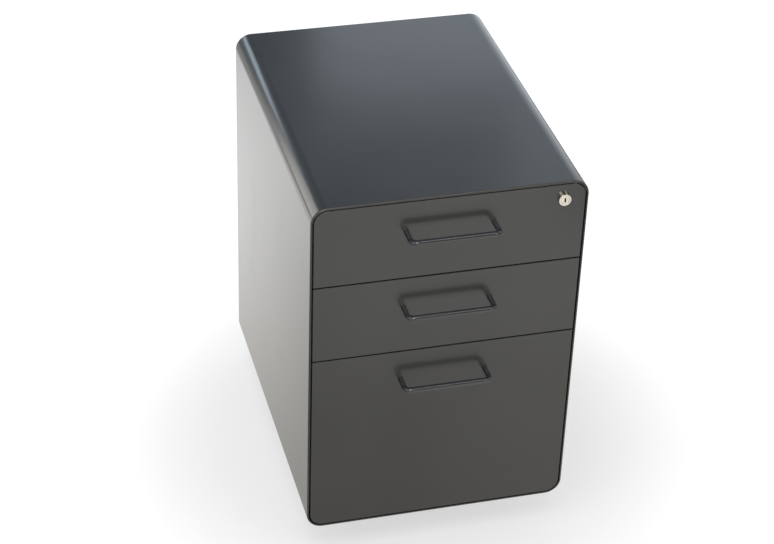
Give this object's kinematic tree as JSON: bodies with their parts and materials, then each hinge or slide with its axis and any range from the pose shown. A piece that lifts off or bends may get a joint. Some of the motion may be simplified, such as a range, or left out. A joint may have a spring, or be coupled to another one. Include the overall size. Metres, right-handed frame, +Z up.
{
  "type": "drawer pedestal",
  "caption": "Mobile under-desk pedestal of coated sheet steel with low box drawers over a deep file drawer, rod pulls, a cylinder lock and casters.",
  "frame": {"origin": "on the floor, under the middle of the whole object's box, handles included", "axes": "+Z up; the drawers face -Y and slide out along -Y; +X to the right of a person facing the drawers"},
  "size_m": [0.4, 0.5504, 0.6107],
  "materials": {
    "coated_steel": "satin powder coat, warm dark grey",
    "tray_steel": "thin satin coat",
    "handle_rod": "semi-gloss dark coat",
    "zinc_steel": "bright zinc plate",
    "lock_chrome": "polished",
    "cast_iron": "rough, dipped in dark primer",
    "wheel_nylon": "moulded nylon"
  },
  "bodies": {
    "root": {"outer_shell": "coated_steel", "back_panel": "coated_steel", "base_pan": "zinc_steel", "counterweight": "cast_iron", "upright_front_left": "zinc_steel", "upright_front_right": "zinc_steel", "upright_rear_left": "zinc_steel", "upright_rear_right": "zinc_steel", "top_slide_cabinet_left": "zinc_steel", "top_slide_cabinet_right": "zinc_steel", "middle_slide_cabinet_left": "zinc_steel", "middle_slide_cabinet_right": "zinc_steel", "file_slide_cabinet_left": "zinc_steel", "file_slide_cabinet_right": "zinc_steel", "caster_front_left_plate": "zinc_steel", "caster_front_right_plate": "zinc_steel", "caster_rear_left_plate": "zinc_steel", "caster_rear_right_plate": "zinc_steel"},
    "top_drawer": {"top_front": "coated_steel", "top_tray": "tray_steel", "top_handle": "handle_rod", "top_handle_screw_left": "zinc_steel", "top_handle_screw_right": "zinc_steel", "top_slide_drawer_left": "zinc_steel", "top_slide_drawer_right": "zinc_steel", "lock_housing": "lock_chrome", "lock_nut": "zinc_steel"},
    "middle_drawer": {"middle_front": "coated_steel", "middle_tray": "tray_steel", "middle_handle": "handle_rod", "middle_handle_screw_left": "zinc_steel", "middle_handle_screw_right": "zinc_steel", "middle_slide_drawer_left": "zinc_steel", "middle_slide_drawer_right": "zinc_steel"},
    "file_drawer": {"file_front": "coated_steel", "file_tray": "tray_steel", "file_handle": "handle_rod", "file_handle_screw_left": "zinc_steel", "file_handle_screw_right": "zinc_steel", "file_slide_drawer_left": "zinc_steel", "file_slide_drawer_right": "zinc_steel"},
    "file_slide_middle": {"file_slide_middle_left": "zinc_steel", "file_slide_middle_right": "zinc_steel"},
    "lock_plug": {"lock_plug": "lock_chrome", "lock_cam": "zinc_steel"},
    "lock_bar": {"lock_bar": "zinc_steel"},
    "caster_front_left": {"caster_front_left_fork": "zinc_steel", "caster_front_left_axle": "zinc_steel"},
    "caster_front_left_wheel": {"caster_front_left_wheel": "wheel_nylon"},
    "caster_front_left_brake": {"caster_front_left_brake_lever": "wheel_nylon"},
    "caster_front_right": {"caster_front_right_fork": "zinc_steel", "caster_front_right_axle": "zinc_steel"},
    "caster_front_right_wheel": {"caster_front_right_wheel": "wheel_nylon"},
    "caster_front_right_brake": {"caster_front_right_brake_lever": "wheel_nylon"},
    "caster_rear_left": {"caster_rear_left_fork": "zinc_steel", "caster_rear_left_axle": "zinc_steel"},
    "caster_rear_left_wheel": {"caster_rear_left_wheel": "wheel_nylon"},
    "caster_rear_right": {"caster_rear_right_fork": "zinc_steel", "caster_rear_right_axle": "zinc_steel"},
    "caster_rear_right_wheel": {"caster_rear_right_wheel": "wheel_nylon"}
  },
  "joints": [
    {"name": "top_drawer_slide", "type": "slide", "parent": "root", "child": "top_drawer", "axis": [0, -1, 0], "range_m": [0, 0.34]},
    {"name": "middle_drawer_slide", "type": "slide", "parent": "root", "child": "middle_drawer", "axis": [0, -1, 0], "range_m": [0, 0.34]},
    {"name": "file_drawer_slide", "type": "slide", "parent": "root", "child": "file_drawer", "axis": [0, -1, 0], "range_m": [0, 0.44]},
    {"name": "file_middle_slide", "type": "slide", "parent": "root", "child": "file_slide_middle", "axis": [0, -1, 0], "range_m": [0, 0.22]},
    {"name": "lock_turn", "type": "hinge", "parent": "top_drawer", "child": "lock_plug", "pos_m": [0.1632, -0.24275, 0.5837], "axis": [0, -1, 0], "range_deg": [0, 90]},
    {"name": "lock_bar_lift", "type": "slide", "parent": "root", "child": "lock_bar", "axis": [0, 0, 1], "range_m": [0, 0.009]},
    {"name": "caster_front_left_swivel", "type": "hinge", "parent": "root", "child": "caster_front_left", "pos_m": [-0.144, -0.17275, 0], "axis": [0, 0, 1], "continuous": true},
    {"name": "caster_front_left_roll", "type": "hinge", "parent": "caster_front_left", "child": "caster_front_left_wheel", "pos_m": [-0.144, -0.15775, 0.0159], "axis": [1, 0, 0], "continuous": true},
    {"name": "caster_front_left_brake", "type": "hinge", "parent": "caster_front_left", "child": "caster_front_left_brake", "pos_m": [-0.144, -0.14572, 0.0325], "axis": [-1, 0, 0], "range_deg": [0, 20]},
    {"name": "caster_front_right_swivel", "type": "hinge", "parent": "root", "child": "caster_front_right", "pos_m": [0.144, -0.17275, 0], "axis": [0, 0, 1], "continuous": true},
    {"name": "caster_front_right_roll", "type": "hinge", "parent": "caster_front_right", "child": "caster_front_right_wheel", "pos_m": [0.144, -0.15775, 0.0159], "axis": [1, 0, 0], "continuous": true},
    {"name": "caster_front_right_brake", "type": "hinge", "parent": "caster_front_right", "child": "caster_front_right_brake", "pos_m": [0.144, -0.14572, 0.0325], "axis": [-1, 0, 0], "range_deg": [0, 20]},
    {"name": "caster_rear_left_swivel", "type": "hinge", "parent": "root", "child": "caster_rear_left", "pos_m": [-0.144, 0.20025, 0], "axis": [0, 0, 1], "continuous": true},
    {"name": "caster_rear_left_roll", "type": "hinge", "parent": "caster_rear_left", "child": "caster_rear_left_wheel", "pos_m": [-0.144, 0.21525, 0.0159], "axis": [1, 0, 0], "continuous": true},
    {"name": "caster_rear_right_swivel", "type": "hinge", "parent": "root", "child": "caster_rear_right", "pos_m": [0.144, 0.20025, 0], "axis": [0, 0, 1], "continuous": true},
    {"name": "caster_rear_right_roll", "type": "hinge", "parent": "caster_rear_right", "child": "caster_rear_right_wheel", "pos_m": [0.144, 0.21525, 0.0159], "axis": [1, 0, 0], "continuous": true}
  ],
  "couplings": [
    {"joint": "file_middle_slide", "follows": "file_drawer_slide", "ratio": 0.5},
    {"joint": "lock_turn", "follows": "lock_bar_lift", "rad_per_m": 174.53}
  ]
}
